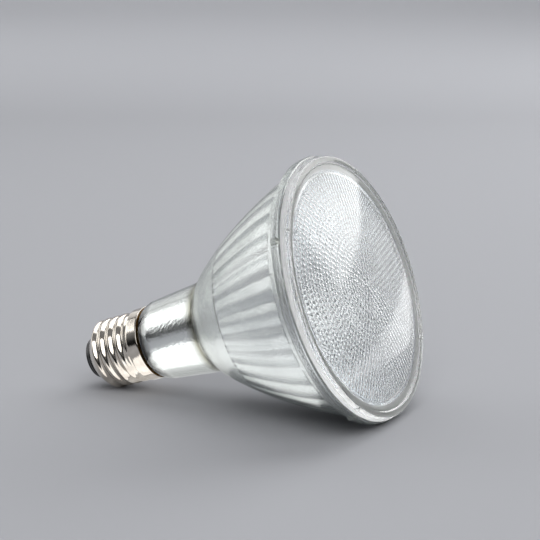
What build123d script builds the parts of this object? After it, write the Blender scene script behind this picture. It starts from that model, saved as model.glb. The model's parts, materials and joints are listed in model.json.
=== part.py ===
"""Reflector lamp with a pressed glass body, a stippled lens and an E27 screw cap.

The lamp lies on its side, as it comes to rest: the edge of the rim and the first
turn of the thread touch the ground. +X runs towards the lens, +Y away from the
viewer and +Z up, and the origin is under the middle of the lamp, on the ground.
Every piece is drawn upright on the Z axis, with its stations counted from the tip of
the centre contact, and the tilted plane LAMP lays it in place. Millimetres.
"""
import os
from math import acos, asin, atan2, cos, hypot, radians, sin

from build123d import *

# Stations along the lamp's axis, from the tip of the centre contact.
RIM_FRONT = 115.0
LENS_DOME = 4.5
SEAM = 111.2
SEAL_THICK = 0.4
FLANGE_BACK = 108.1
CONE_END = 106.5
FLUTE_END = 104.2
CONE_START = 55.0
NECK_START = 33.0
COLLAR_EDGE = 28.4
SHOULDER_FOOT = 28.2

# The glass body: radii of its outside, and its wall.
FLANGE_R = 48.5
LENS_R = 47.5
NECK_R = 14.9
NECK_TOP_R = 17.2
STUB_R = 12.7
STUB_BORE_R = 10.9
STUB_END = 24.4
NECK_WALL = 2.4
CONE_WALL = 2.8
CONE_OUTLINE = [(21.1, 59.5), (25.1, 65.0), (30.3, 73.0), (34.8, 81.0), (38.7, 89.0), (42.2, 97.0)]
CONE_END_R = 45.4
FLUTES = 32
FLUTE_DEPTH = 0.019
FLUTE_ANGLE = 2.75
FLUTE_CLEAR = 0.05
EDGE_ROUND = 0.6
LENS_ROUND = 0.8

# Moulding lugs on the flange and marks on the lens: four each, evenly round the edge.
LUG_R, LUG_RING, LUG_ANGLE, LUG_FOOT = 1.3, 47.8, 58, 108.3
MARK_R, MARK_RING, MARK_ANGLE, MARK_FOOT = 0.8, 47.2, 54, 112.2
LUG_LONG = 2.2

# The lens.
LENS_WALL = 3.2
LENS_FACE_R = 44.7
LENS_STEP = 0.7
LENS_SKIRT_R = 41.0
SKIRT_DEEP = 1.4
SKIRT_GAP = 0.4
LENS_FLARE = 0.6

# The E27 cap: a rolled thread in thin sheet.
PITCH = 3.629
CREST_R = 13.2
ROOT_R = 12.13
SHEET = 0.3
CREST_HALF = 1.5
CREST_SINK = 0.12
THREAD_FOOT = 9.5
THREAD_TURNS = 4.0
SHELL_END_R = 8.6
SHELL_END = 4.0
CONE_TOP = 7.53
THREAD_TOP = 22.9
COLLAR_START = 23.8
COLLAR_R = 13.6

# The insulator and the centre contact.
CONTACT_SEAT = 1.0
CONTACT_SEAT_R = 5.3
CONTACT_R = 4.6
CONTACT_FLAT_R = 2.2
WIRE_HOLE_R = 1.2

# The light engine in the neck.
SLEEVE_R = 10.5
SLEEVE_WALL = 0.8
SLEEVE_FOOT = 11.0
SINK_FOOT = 46.0
SINK_FACE = 57.0
SPIGOT = 2.0
BOND = 0.5
PAD_R, PAD_THICK = 12.0, 0.3
LED_BOARD_R, LED_BOARD_THICK = 12.5, 1.6
LED_SIZE, LED_HIGH, LED_PITCH = 3.0, 0.7, 4.0
SCREW_PLACE, SCREW_SHANK_R, SCREW_HEAD_R, SCREW_HEAD = 9.3, 1.0, 2.0, 1.3
SCREW_LONG = 6.5
BOARD_WIDE, BOARD_THICK = 20.2, 1.2
BOARD_FOOT, BOARD_TOP = 13.0, 43.5
LED_LEAD_R, LED_LEAD_X, LEAD_HOLE_R = 0.5, 7.5, 0.9
LIVE_R, NEUTRAL_R = 0.6, 0.45
FACE = BOARD_THICK / 2
LED_BOARD_FOOT = SINK_FACE + PAD_THICK
LED_BOARD_TOP = LED_BOARD_FOOT + LED_BOARD_THICK

# The two rounded corners that touch the ground, as radius, station and rounding.
crest_rise = CREST_R - ROOT_R + CREST_SINK
CREST_ROUND = (CREST_HALF**2 + crest_rise**2) / (2 * crest_rise)
FLANGE_CORNER = (FLANGE_R - EDGE_ROUND, FLANGE_BACK + EDGE_ROUND, EDGE_ROUND)
CREST_CORNER = (CREST_R - CREST_ROUND, THREAD_FOOT, CREST_ROUND)
OUTLINE_CORNERS = [
    FLANGE_CORNER,
    CREST_CORNER,
    (LENS_R - LENS_ROUND, RIM_FRONT - LENS_ROUND, LENS_ROUND),
    (SHELL_END_R, SHELL_END, 0),
    (CONTACT_SEAT_R, CONTACT_SEAT, 0),
    (CONTACT_FLAT_R, 0, 0),
]


def resting_tilt(upper, lower):
    """Angle of the axis, in radians, when both rounded corners touch the ground."""
    across, along = upper[0] - lower[0], upper[1] - lower[1]
    return acos((lower[2] - upper[2]) / hypot(across, along)) - atan2(along, across)


def reach(along, across):
    """How far the outline reaches in a direction with these two components."""
    return max(along * z + across * r + rounding for r, z, rounding in OUTLINE_CORNERS)


TILT = resting_tilt(FLANGE_CORNER, CREST_CORNER)
ahead = reach(cos(TILT), sin(TILT))
behind = reach(-cos(TILT), sin(TILT))
below = reach(-sin(TILT), cos(TILT))
LAMP = Plane(
    origin=((behind - ahead) / 2, 0, below),
    x_dir=(0, 1, 0),
    z_dir=(cos(TILT), 0, sin(TILT)),
)


def neck_bore(z):
    """Radius of the neck's bore, which widens evenly towards the cone."""
    rise = (NECK_TOP_R - NECK_R) / (CONE_START - NECK_START)
    return NECK_R - NECK_WALL + rise * (z - NECK_START)


def polar(r, angle):
    """Point on a cross-section of the lamp, from its radius and its angle in degrees."""
    return (r * cos(radians(angle)), r * sin(radians(angle)))


def dome_arc(edge_r, edge_z, top):
    """Half of a shallow dome's outline: a true arc from the axis to its edge."""
    rise = top - edge_z
    dome_r = (edge_r**2 + rise**2) / (2 * rise)
    half_turn = asin(edge_r / dome_r) / 2
    middle = (dome_r * sin(half_turn), top - dome_r * (1 - cos(half_turn)))
    return ThreePointArc((0, top), middle, (edge_r, edge_z))


def finish(part, name):
    """Lay a finished piece in place, label it and write it to its own file."""
    laid = part.moved(LAMP.location)
    laid.label = name
    export_step(laid, f"parts/{name}.step")


os.makedirs("parts", exist_ok=True)


def fluted_face(r, z):
    """Cross-section of the fluted bore: a ring of shallow scallops at one station."""
    turn = 360 / FLUTES
    with BuildSketch(Plane.XY.offset(z)) as ring:
        with BuildLine():
            for k in range(FLUTES):
                edge_angle = FLUTE_ANGLE + k * turn
                ThreePointArc(
                    polar(r, edge_angle),
                    polar(r * (1 + FLUTE_DEPTH), edge_angle + turn / 2),
                    polar(r, edge_angle + turn),
                )
        make_face()
    return ring.sketch


# Reflector body: one piece of pressed glass, from the stub in the cap to the flange.
CONE_INSIDE = [(r - CONE_WALL, z) for r, z in CONE_OUTLINE]
MOUTH_R = CONE_END_R - CONE_WALL
FLUTE_END_R = MOUTH_R - 0.9
with BuildPart() as reflector_glass:
    with BuildSketch(Plane.XZ):
        with BuildLine():
            stub = Line((STUB_BORE_R, STUB_END), (STUB_R, STUB_END))
            stub_side = Line(stub @ 1, (STUB_R, SHOULDER_FOOT))
            shoulder = Spline(
                stub_side @ 1,
                (NECK_R, NECK_START),
                tangents=[(1, 0.25), (NECK_TOP_R - NECK_R, CONE_START - NECK_START)],
            )
            neck = Line(shoulder @ 1, (NECK_TOP_R, CONE_START))
            cone = Spline(
                neck @ 1,
                *CONE_OUTLINE,
                (CONE_END_R, CONE_END),
                tangents=[neck % 1, (0.42, 1)],
            )
            under_flange = Spline(
                cone @ 1,
                (FLANGE_R - EDGE_ROUND, FLANGE_BACK),
                tangents=[cone % 1, (1, 0)],
            )
            edge_back = RadiusArc(
                under_flange @ 1, (FLANGE_R, FLANGE_BACK + EDGE_ROUND), -EDGE_ROUND
            )
            edge = Line(edge_back @ 1, (FLANGE_R, SEAM - EDGE_ROUND))
            edge_front = RadiusArc(edge @ 1, (FLANGE_R - EDGE_ROUND, SEAM), -EDGE_ROUND)
            seat = Line(edge_front @ 1, (MOUTH_R, SEAM))
            mouth = Line(seat @ 1, (MOUTH_R, CONE_END))
            inside = Spline(
                mouth @ 1,
                *reversed(CONE_INSIDE),
                (neck_bore(CONE_START), CONE_START),
                tangents=[(-0.42, -1), (NECK_R - NECK_TOP_R, NECK_START - CONE_START)],
            )
            bore = Line(inside @ 1, (neck_bore(NECK_START), NECK_START))
            throat = Spline(
                bore @ 1,
                (STUB_BORE_R, SHOULDER_FOOT),
                tangents=[bore % 1, (0, -1)],
            )
            Line(throat @ 1, stub @ 0)
        make_face()
    revolve(axis=Axis.Z)
    # Flutes pressed into the inside of the cone, with square ends.
    flute_rings = [(r + FLUTE_CLEAR, z) for r, z in CONE_INSIDE[2:]]
    flute_rings.append((FLUTE_END_R + FLUTE_CLEAR, FLUTE_END))
    with BuildPart(mode=Mode.PRIVATE) as fluted_bore:
        loft([fluted_face(r, z).face() for r, z in flute_rings], ruled=True)
    add(fluted_bore.part, mode=Mode.SUBTRACT)
    # Four moulding lugs on the edge of the flange.
    with BuildSketch(Plane.XY.offset(LUG_FOOT)):
        with PolarLocations(LUG_RING, 4, start_angle=LUG_ANGLE):
            Circle(LUG_R)
    extrude(amount=LUG_LONG)
finish(reflector_glass.part, "reflector_glass")

# Lens: a shallow dome in a flat annulus, with a skirt that centres it in the mouth.
LENS_BACK = SEAM + SEAL_THICK
SKIRT_OUT_R = MOUTH_R - SKIRT_GAP
with BuildPart() as lens_glass:
    with BuildSketch(Plane.XZ):
        with BuildLine():
            crown = dome_arc(LENS_FACE_R, RIM_FRONT - LENS_STEP, RIM_FRONT + LENS_DOME)
            annulus = Line(crown @ 1, (LENS_FACE_R + LENS_STEP, RIM_FRONT))
            front = Line(annulus @ 1, (LENS_R - LENS_ROUND, RIM_FRONT))
            front_round = RadiusArc(front @ 1, (LENS_R, RIM_FRONT - LENS_ROUND), LENS_ROUND)
            side = Line(front_round @ 1, (LENS_R + LENS_FLARE, LENS_BACK + EDGE_ROUND))
            back_round = RadiusArc(side @ 1, (LENS_R, LENS_BACK), EDGE_ROUND)
            back = Line(back_round @ 1, (SKIRT_OUT_R, LENS_BACK))
            skirt = Polyline(
                back @ 1,
                (SKIRT_OUT_R, LENS_BACK - SKIRT_DEEP),
                (LENS_SKIRT_R, LENS_BACK - SKIRT_DEEP),
                (LENS_SKIRT_R, LENS_BACK),
            )
            under = dome_arc(LENS_SKIRT_R, LENS_BACK, RIM_FRONT + LENS_DOME - LENS_WALL)
            Line(under @ 0, crown @ 0)
        make_face()
    revolve(axis=Axis.Z)
    # Four small moulding marks on the edge, clear of the flange's lugs.
    with BuildSketch(Plane.XY.offset(MARK_FOOT)):
        with PolarLocations(MARK_RING, 4, start_angle=MARK_ANGLE):
            Circle(MARK_R)
    extrude(amount=LUG_LONG)
finish(lens_glass.part, "lens_glass")

# Seal: the bead of silicone between flange and lens.
with BuildPart() as lens_seal:
    with BuildSketch(Plane.XY.offset(SEAM)):
        Circle(LENS_R - 0.2)
        Circle(MOUTH_R, mode=Mode.SUBTRACT)
    extrude(amount=SEAL_THICK)
finish(lens_seal.part, "lens_seal")


def thread_core(gap):
    """Face of the cap without its thread: gap is how far its wall stands inwards."""
    slant = gap * 0.414
    with BuildSketch(Plane.XZ) as core:
        with BuildLine():
            Polyline(
                (0, SHELL_END),
                (SHELL_END_R - gap * 1.414, SHELL_END),
                (ROOT_R - gap, CONE_TOP + slant),
                (ROOT_R - gap, THREAD_TOP + slant),
                (COLLAR_R - gap, COLLAR_START + slant),
                (COLLAR_R - gap, COLLAR_EDGE),
                (0, COLLAR_EDGE),
                close=True,
            )
        make_face()
    return core.sketch


def thread_reach(gap):
    """Face that clips the ridge, so that the thread fades in and out as rolled ones do."""
    with BuildSketch(Plane.XZ) as clip:
        with BuildLine():
            Polyline(
                (0, SHELL_END + 1),
                (SHELL_END_R + 1.6 - gap * 1.414, SHELL_END + 1),
                (CREST_R + 0.3 - gap, CONE_TOP + 1.1),
                (CREST_R + 0.3 - gap, THREAD_TOP - 2.8),
                (ROOT_R - 0.3 - gap, THREAD_TOP + 0.4),
                (0, THREAD_TOP + 0.4),
                close=True,
            )
        make_face()
    return clip.sketch


def thread_ridge(gap):
    """The helical ridge, from a rounded profile swept along the thread's helix."""
    foot = THREAD_FOOT - 1.75 * PITCH
    with BuildPart() as ridge:
        with BuildLine() as helix:
            Helix(PITCH, (THREAD_TURNS + 1) * PITCH, ROOT_R, center=(0, 0, foot))
        start = Plane(origin=helix.line @ 0, x_dir=(1, 0, 0), z_dir=(0, -1, 0))
        sunk = -CREST_SINK - gap
        half = CREST_HALF - gap * 0.8
        with BuildSketch(start):
            with BuildLine():
                round_top = ThreePointArc((sunk, -half), (CREST_R - ROOT_R - gap, 0), (sunk, half))
                Line(round_top @ 1, round_top @ 0)
            make_face()
        sweep(path=helix.line, is_frenet=True)
        with BuildPart(mode=Mode.PRIVATE) as clip:
            revolve(thread_reach(gap), axis=Axis.Z)
        add(clip.part, mode=Mode.INTERSECT)
    return ridge.part


# Screw shell: sheet rolled into the E27 thread, so the inside follows the outside.
with BuildPart() as screw_shell:
    revolve(thread_core(0), axis=Axis.Z)
    add(thread_ridge(0))
    with BuildPart(mode=Mode.PRIVATE) as hollow:
        revolve(thread_core(SHEET), axis=Axis.Z)
        add(thread_ridge(SHEET))
    add(hollow.part, mode=Mode.SUBTRACT)
finish(screw_shell.part, "screw_shell")

# Insulator: black glass cast into the small end of the shell.
INSULATOR_TOP = CONE_TOP - 0.2
inner_end_r = SHELL_END_R - SHEET * 1.414
with BuildPart() as cap_insulator:
    with BuildSketch(Plane.XZ):
        with BuildLine():
            Polyline(
                (WIRE_HOLE_R, CONTACT_SEAT),
                (CONTACT_SEAT_R, CONTACT_SEAT),
                (inner_end_r, SHELL_END),
                (inner_end_r + INSULATOR_TOP - SHELL_END, INSULATOR_TOP),
                (WIRE_HOLE_R, INSULATOR_TOP),
                close=True,
            )
        make_face()
    revolve(axis=Axis.Z)
finish(cap_insulator.part, "cap_insulator")

# Centre contact: a pressed eyelet that grips the live wire.
with BuildPart() as centre_contact:
    with BuildSketch(Plane.XZ):
        with BuildLine():
            tip = Line((0, 0), (CONTACT_FLAT_R, 0))
            dome = Spline(tip @ 1, (CONTACT_R, CONTACT_SEAT), tangents=[(1, 0.1), (0.5, 1)])
            Polyline(
                dome @ 1,
                (WIRE_HOLE_R, CONTACT_SEAT),
                (WIRE_HOLE_R, CONTACT_SEAT + 1.4),
                (LIVE_R, CONTACT_SEAT + 1.4),
                (LIVE_R, CONTACT_SEAT - 0.5),
                (0, CONTACT_SEAT - 0.5),
                tip @ 0,
            )
        make_face()
    revolve(axis=Axis.Z)
finish(centre_contact.part, "centre_contact")

# Cement: holds the stub of the glass in the collar.
with BuildPart() as cap_cement:
    with BuildSketch(Plane.XY.offset(STUB_END)):
        Circle(COLLAR_R - SHEET)
        Circle(STUB_R, mode=Mode.SUBTRACT)
    extrude(amount=COLLAR_EDGE - STUB_END - 0.4)
finish(cap_cement.part, "cap_cement")

# Heat sink: an aluminium slug that fills the top of the neck.
LEAD_PLACES = [(LED_LEAD_X, FACE + LED_LEAD_R), (-LED_LEAD_X, FACE + LED_LEAD_R)]
SCREW_PLACES = [(0, SCREW_PLACE), (0, -SCREW_PLACE)]
SPIGOT_R = SLEEVE_R - SLEEVE_WALL
with BuildPart() as heat_sink:
    with BuildSketch(Plane.XZ):
        with BuildLine():
            Polyline(
                (0, SINK_FOOT - SPIGOT),
                (SPIGOT_R, SINK_FOOT - SPIGOT),
                (SPIGOT_R, SINK_FOOT),
                (neck_bore(SINK_FOOT) - BOND, SINK_FOOT),
                (neck_bore(CONE_START) - BOND, CONE_START),
                (neck_bore(CONE_START) - BOND, SINK_FACE),
                (0, SINK_FACE),
                close=True,
            )
        make_face()
    revolve(axis=Axis.Z)
    with BuildSketch(Plane.XY.offset(SINK_FACE)):
        with Locations(*LEAD_PLACES):
            Circle(LEAD_HOLE_R)
    extrude(amount=-(SINK_FACE - SINK_FOOT + SPIGOT), mode=Mode.SUBTRACT)
    with BuildSketch(Plane.XY.offset(SINK_FACE)):
        with Locations(*SCREW_PLACES):
            Circle(SCREW_SHANK_R)
    extrude(amount=-SCREW_LONG, mode=Mode.SUBTRACT)
finish(heat_sink.part, "heat_sink")

# Bond: the ring of heat-conducting adhesive between heat sink and neck.
BOND_FOOT, BOND_TOP = SINK_FOOT + 1.5, CONE_START - 1
with BuildPart() as sink_bond:
    with BuildSketch(Plane.XZ):
        with BuildLine():
            Polyline(
                (neck_bore(BOND_FOOT) - BOND, BOND_FOOT),
                (neck_bore(BOND_FOOT), BOND_FOOT),
                (neck_bore(BOND_TOP), BOND_TOP),
                (neck_bore(BOND_TOP) - BOND, BOND_TOP),
                close=True,
            )
        make_face()
    revolve(axis=Axis.Z)
finish(sink_bond.part, "sink_bond")


def pierced_disc(r, z, thick):
    """A disc on the heat sink, with the holes of the two leads and the two screws."""
    with BuildPart() as disc:
        with BuildSketch(Plane.XY.offset(z)):
            Circle(r)
            with Locations(*LEAD_PLACES):
                Circle(LEAD_HOLE_R, mode=Mode.SUBTRACT)
            with Locations(*SCREW_PLACES):
                Circle(SCREW_SHANK_R, mode=Mode.SUBTRACT)
        extrude(amount=thick)
    return disc.part


finish(pierced_disc(PAD_R, SINK_FACE, PAD_THICK), "thermal_pad")
finish(pierced_disc(LED_BOARD_R, LED_BOARD_FOOT, LED_BOARD_THICK), "led_board")

# Light-emitting diodes: nine packages in a square on the round board.
with BuildPart() as led_chips:
    with BuildSketch(Plane.XY.offset(LED_BOARD_TOP)):
        with GridLocations(LED_PITCH, LED_PITCH, 3, 3):
            Rectangle(LED_SIZE, LED_SIZE)
    extrude(amount=LED_HIGH)
finish(led_chips.part, "led_chips")

# Two screws hold the board on the heat sink.
with BuildPart() as board_screws:
    with BuildSketch(Plane.XY.offset(LED_BOARD_TOP)):
        with Locations(*SCREW_PLACES):
            Circle(SCREW_SHANK_R)
    extrude(amount=-(LED_BOARD_TOP - SINK_FACE + SCREW_LONG - 0.5))
    with BuildSketch(Plane.XY.offset(LED_BOARD_TOP)):
        with Locations(*SCREW_PLACES):
            Circle(SCREW_HEAD_R)
    extrude(amount=SCREW_HEAD)
finish(board_screws.part, "board_screws")

# Insulating sleeve: a plastic tube on the spigot, with a groove for each board edge.
with BuildPart() as insulating_sleeve:
    with BuildSketch(Plane.XY.offset(SLEEVE_FOOT)):
        Circle(SLEEVE_R)
        Circle(SPIGOT_R, mode=Mode.SUBTRACT)
    extrude(amount=SINK_FOOT - SLEEVE_FOOT)
    with BuildSketch(Plane.XY.offset(SLEEVE_FOOT)):
        Rectangle(BOARD_WIDE, BOARD_THICK)
    extrude(amount=BOARD_TOP - SLEEVE_FOOT, mode=Mode.SUBTRACT)
finish(insulating_sleeve.part, "insulating_sleeve")

# Driver board, held edgewise in the sleeve.
with BuildPart() as driver_board:
    with BuildSketch(Plane.XY.offset(BOARD_FOOT)):
        Rectangle(BOARD_WIDE, BOARD_THICK)
    extrude(amount=BOARD_TOP - BOARD_FOOT)
finish(driver_board.part, "driver_board")


def block_on_board(side, x, z, wide, long, high):
    """A rectangular component on one side of the board: side is 1 or -1."""
    with BuildPart() as block:
        with BuildSketch(Plane.XY.offset(z)):
            with Locations((x, side * (FACE + high / 2))):
                Rectangle(wide, high)
        extrude(amount=long)
    return block.part


CAN_CHAMFER = 0.3


def can_on_board(side, x, z, r, long):
    """A round component that lies along the board, with a small chamfer at both ends."""
    with BuildPart() as can:
        with BuildSketch(Plane.XY.offset(z)):
            with Locations((x, side * (FACE + r))):
                Circle(r)
        extrude(amount=long)
        chamfer(can.edges().filter_by(GeomType.CIRCLE), CAN_CHAMFER)
    return can.part


film_box = block_on_board(side=1, x=4.5, z=17.0, wide=4.0, long=8.0, high=5.0)
rectifier = block_on_board(side=-1, x=0.0, z=16.0, wide=4.7, long=4.0, high=2.4)
chip = block_on_board(side=-1, x=5.6, z=33.0, wide=3.9, long=4.9, high=1.6)
bulk_can = can_on_board(side=1, x=-4.0, z=14.0, r=3.5, long=12.0)
output_can = can_on_board(side=-1, x=0.0, z=32.5, r=2.5, long=9.0)
finish(film_box, "film_capacitor")
finish(rectifier, "bridge_rectifier")
finish(chip, "driver_chip")
finish(bulk_can, "bulk_capacitor")
finish(output_can, "output_capacitor")

# Choke: a ferrite drum standing on the board.
CHOKE_Z, CHOKE_R, CHOKE_HIGH, CHOKE_WAIST, CHOKE_RIM = 27.0, 3.4, 5.6, 2.4, 1.0
choke_base = Plane(origin=(0, -FACE, CHOKE_Z), x_dir=(1, 0, 0), z_dir=(0, -1, 0))
with BuildPart() as input_choke:
    with BuildSketch(choke_base):
        Circle(CHOKE_R)
    extrude(amount=CHOKE_HIGH)
    with BuildSketch(choke_base.offset(CHOKE_RIM)):
        Circle(CHOKE_R)
        Circle(CHOKE_WAIST, mode=Mode.SUBTRACT)
    extrude(amount=CHOKE_HIGH - 2 * CHOKE_RIM, mode=Mode.SUBTRACT)
finish(input_choke.part, "input_choke")

# Fusible resistor, across the foot of the board.
RESISTOR_R, RESISTOR_LONG, RESISTOR_X, RESISTOR_Z, RESISTOR_ROUND = 1.3, 6.0, 1.4, 15.0, 0.4
resistor_end = Plane(
    origin=(RESISTOR_X, FACE + RESISTOR_R, RESISTOR_Z), x_dir=(0, 1, 0), z_dir=(1, 0, 0)
)
with BuildPart() as fusible_resistor:
    with BuildSketch(resistor_end):
        Circle(RESISTOR_R)
    extrude(amount=RESISTOR_LONG)
    fillet(fusible_resistor.edges().filter_by(GeomType.CIRCLE), RESISTOR_ROUND)
finish(fusible_resistor.part, "fusible_resistor")

# Transformer: a ferrite core with two windows, and the winding on its middle leg.
CORE_Z, CORE_WIDE, CORE_LONG, CORE_THICK, YOKE = 36.0, 12.0, 10.0, 4.4, 2.0
LEG_WIDE, WINDOW_WIDE, COIL_LAP = 3.0, 2.5, 1.2
COIL_HIGH = CORE_THICK + 2 * COIL_LAP
COIL_MID = FACE + COIL_HIGH / 2
with BuildPart() as transformer_core:
    with BuildSketch(Plane.XY.offset(CORE_Z - CORE_LONG / 2)):
        with Locations((0, COIL_MID)):
            Rectangle(CORE_WIDE, CORE_THICK)
    extrude(amount=CORE_LONG)
    with BuildSketch(Plane.XY.offset(CORE_Z - CORE_LONG / 2 + YOKE)):
        with Locations((0, COIL_MID)):
            with GridLocations(LEG_WIDE + WINDOW_WIDE, 1, 2, 1):
                Rectangle(WINDOW_WIDE, CORE_THICK)
    extrude(amount=CORE_LONG - 2 * YOKE, mode=Mode.SUBTRACT)
finish(transformer_core.part, "transformer_core")

with BuildPart() as transformer_coil:
    with BuildSketch(Plane.XY.offset(CORE_Z - CORE_LONG / 2 + YOKE)):
        with Locations((0, COIL_MID)):
            RectangleRounded(LEG_WIDE + 2 * WINDOW_WIDE, COIL_HIGH, 0.9)
            Rectangle(LEG_WIDE, CORE_THICK, mode=Mode.SUBTRACT)
    extrude(amount=CORE_LONG - 2 * YOKE)
finish(transformer_coil.part, "transformer_coil")


def lead(points, bends, r):
    """An insulated lead: straight runs joined by arcs, all of one thickness."""
    with BuildPart() as tube:
        with BuildLine() as path:
            if bends:
                FilletPolyline(*points, radius=bends)
            else:
                Line(*points)
        with BuildSketch(Plane(origin=path.line @ 0, z_dir=path.line % 0)):
            Circle(r)
        sweep(path=path.line)
    return tube.part


# Leads to the cap: live down the middle, neutral back up beside the sleeve.
live_side = -FACE - LIVE_R
LIVE_ROUTE = [(4.6, live_side, 18.0), (4.6, live_side, 11.4), (0, 0, 8.9), (0, 0, CONTACT_SEAT - 0.5)]
finish(lead(LIVE_ROUTE, [2.4, 2.4], LIVE_R), "live_lead")

neutral_side = -FACE - NEUTRAL_R
NEUTRAL_OUT, NEUTRAL_DIP, NEUTRAL_TOP = 11.15, 9.3, 17.6
NEUTRAL_ROUTE = [
    (-5.0, neutral_side, 18.0),
    (-5.0, neutral_side, NEUTRAL_DIP),
    (-NEUTRAL_OUT, neutral_side, NEUTRAL_DIP),
    (-NEUTRAL_OUT, neutral_side, NEUTRAL_TOP),
]
neutral_lead = lead(NEUTRAL_ROUTE, [1.8, 1.8], NEUTRAL_R)
finish(neutral_lead, "neutral_lead")

# Solder: the joint between the neutral lead and a valley of the thread.
SHELL_JOINT_R = 0.68
with BuildPart() as shell_solder:
    with Locations((-NEUTRAL_OUT, neutral_side, NEUTRAL_TOP)):
        Sphere(SHELL_JOINT_R)
    add(screw_shell.part, mode=Mode.SUBTRACT)
    add(neutral_lead, mode=Mode.SUBTRACT)
finish(shell_solder.part, "shell_solder")

# Leads to the light-emitting diodes, straight up through the heat sink.
LED_LEAD_FOOT, LED_LEAD_TOP = 38.0, LED_BOARD_TOP + 0.6
for name, (x, y) in zip(("led_positive_lead", "led_negative_lead"), LEAD_PLACES):
    finish(lead([(x, y, LED_LEAD_FOOT), (x, y, LED_LEAD_TOP)], None, LED_LEAD_R), name)

# Solder on the round board: one joint round the end of each lead.
with BuildPart() as led_solder:
    with BuildSketch(Plane.XY.offset(LED_BOARD_TOP)):
        with Locations(*LEAD_PLACES):
            Circle(LEAD_HOLE_R + 0.4)
    extrude(amount=0.9, taper=30)
    with BuildSketch(Plane.XY.offset(LED_BOARD_TOP)):
        with Locations(*LEAD_PLACES):
            Circle(LED_LEAD_R)
    extrude(amount=LED_LEAD_TOP - LED_BOARD_TOP, mode=Mode.SUBTRACT)
finish(led_solder.part, "led_solder")
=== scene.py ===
"""Reflector lamp with a screw cap, lying on a grey studio floor.

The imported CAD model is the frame. The glass body, the stippled lens, the rolled cap
shell, the insulator and the contact are new surfaces that stand for their CAD nodes,
and the works inside keep their CAD meshes and get finishes of their own. Shapes are
worked out in the lamp's own terms: a station along its axis from the contact's tip, a
radius from that axis and an angle round it. Lengths are millimetres until place() turns
them into metres in the row frame.
"""

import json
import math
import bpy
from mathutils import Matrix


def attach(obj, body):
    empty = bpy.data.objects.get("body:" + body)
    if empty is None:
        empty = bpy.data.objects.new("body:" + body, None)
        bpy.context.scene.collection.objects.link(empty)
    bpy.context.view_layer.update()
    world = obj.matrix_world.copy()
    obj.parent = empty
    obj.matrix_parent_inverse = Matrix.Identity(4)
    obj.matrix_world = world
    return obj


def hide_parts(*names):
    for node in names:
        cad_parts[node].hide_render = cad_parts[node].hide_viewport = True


bl_info = {
    "name": "Reflector Lamp",
    "version": (1, 0, 0),
    "blender": (4, 5, 0),
    "location": "View3D > Sidebar > Lamp",
    "description": "Builds a glass reflector lamp with a screw cap on a studio floor",
    "category": "Add Mesh",
}

import bpy
import mathutils
import numpy as np

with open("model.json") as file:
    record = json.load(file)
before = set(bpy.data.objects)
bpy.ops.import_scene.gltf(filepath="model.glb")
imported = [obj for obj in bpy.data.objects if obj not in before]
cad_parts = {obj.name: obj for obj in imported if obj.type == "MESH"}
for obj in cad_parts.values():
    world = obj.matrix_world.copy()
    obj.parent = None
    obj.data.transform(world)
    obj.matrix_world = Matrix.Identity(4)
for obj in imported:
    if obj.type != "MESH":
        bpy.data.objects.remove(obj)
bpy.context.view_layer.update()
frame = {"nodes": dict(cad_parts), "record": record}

# The lamp's axes, from the contact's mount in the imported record.
MM = 0.001
TIP_MOUNT = next(m for m in frame["record"]["mounts"] if m["name"] == "contact_tip")
TIP = np.array(TIP_MOUNT["pos_m"])
ALONG = -np.array(TIP_MOUNT["axis"])
ACROSS = np.array([0.0, 1.0, 0.0])
RISE = np.cross(ALONG, ACROSS)

# Stations and radii of the glass body, in millimetres, as in the CAD source.
RIM_FRONT, LENS_DOME, SEAM, SEAL = 115.0, 4.495, 111.2, 0.4
FLANGE_BACK, CONE_END, FLUTE_START, FLUTE_END = 108.1, 106.5, 73.0, 104.2
CONE_START, NECK_START, COLLAR_EDGE, STUB_END = 55.0, 33.0, 28.4, 24.4
FLANGE_R, LENS_R, MOUTH_R, CONE_END_R = 48.498, 47.495, 42.6, 45.4
NECK_R, NECK_TOP_R, STUB_R, STUB_BORE_R = 14.9, 17.2, 12.7, 10.9
CONE_WALL, NECK_WALL = 2.8, 2.4
EDGE_ROUND, LENS_ROUND = 0.6, 0.8
STUB_TOP, SHOULDER, SHOULDER_R, BORE_LOW = COLLAR_EDGE - 0.2, 30.4, 13.95, 24.0
MIRROR_END, LAND_TOP, LAND_STEP, LAND_SLOPE = 57.0, 56.5, 0.7, 0.07
CONE_STATIONS = np.array([59.5, 65.0, 73.0, 81.0, 89.0, 97.0, CONE_END])
CONE_RADII = np.array([21.1, 25.1, 30.3, 34.8, 38.7, 42.2, CONE_END_R])
FLUTES, FLUTE_ANGLE = 32, math.radians(2.75)
LUG_R, LUG_RING, LUG_ANGLE = 1.3, 47.8, math.radians(58)
LUG_FOOT, LUG_TOP, LUG_ROUND = 108.3, 110.5, 0.3

# Where neck and cone meet, the silvering is painted a dark olive, blended in and out at both
# ends: painted shade for the dark reflection in the corner there.
# The silvering's edge near the cap wanders by up to EDGE_WANDER and blends over EDGE_BLEND.
CORNER_SHADE_FROM, CORNER_SHADE_TO, CORNER_SHADE_BLEND, PAINTED_CORNER_SHADE = 52.5, 55.9, 0.15, "#6C684A"
EDGE_WANDER, EDGE_BLEND = 2.2, 0.1

# Finish numbers of the body, and of the lens.
FROSTED, NECK_MIRROR, CONE_MIRROR, POLISHED = 0, 1, 2, 3
CLEAR, ROUGH_SIDE, CROWN = 0, 1, 2

# The lens.
LENS_BACK, LENS_WALL = SEAM + SEAL, 3.2
FACE_R, SKIRT_R, SKIRT_DEEP = 44.7, 41.0, 1.4
SIDE_SPREAD = 0.6
MARK_R, MARK_RING, MARK_ANGLE = 0.8, 47.2, math.radians(54)
MARK_FOOT, MARK_TOP, MARK_ROUND = 112.2, 114.4, 0.2
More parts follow.
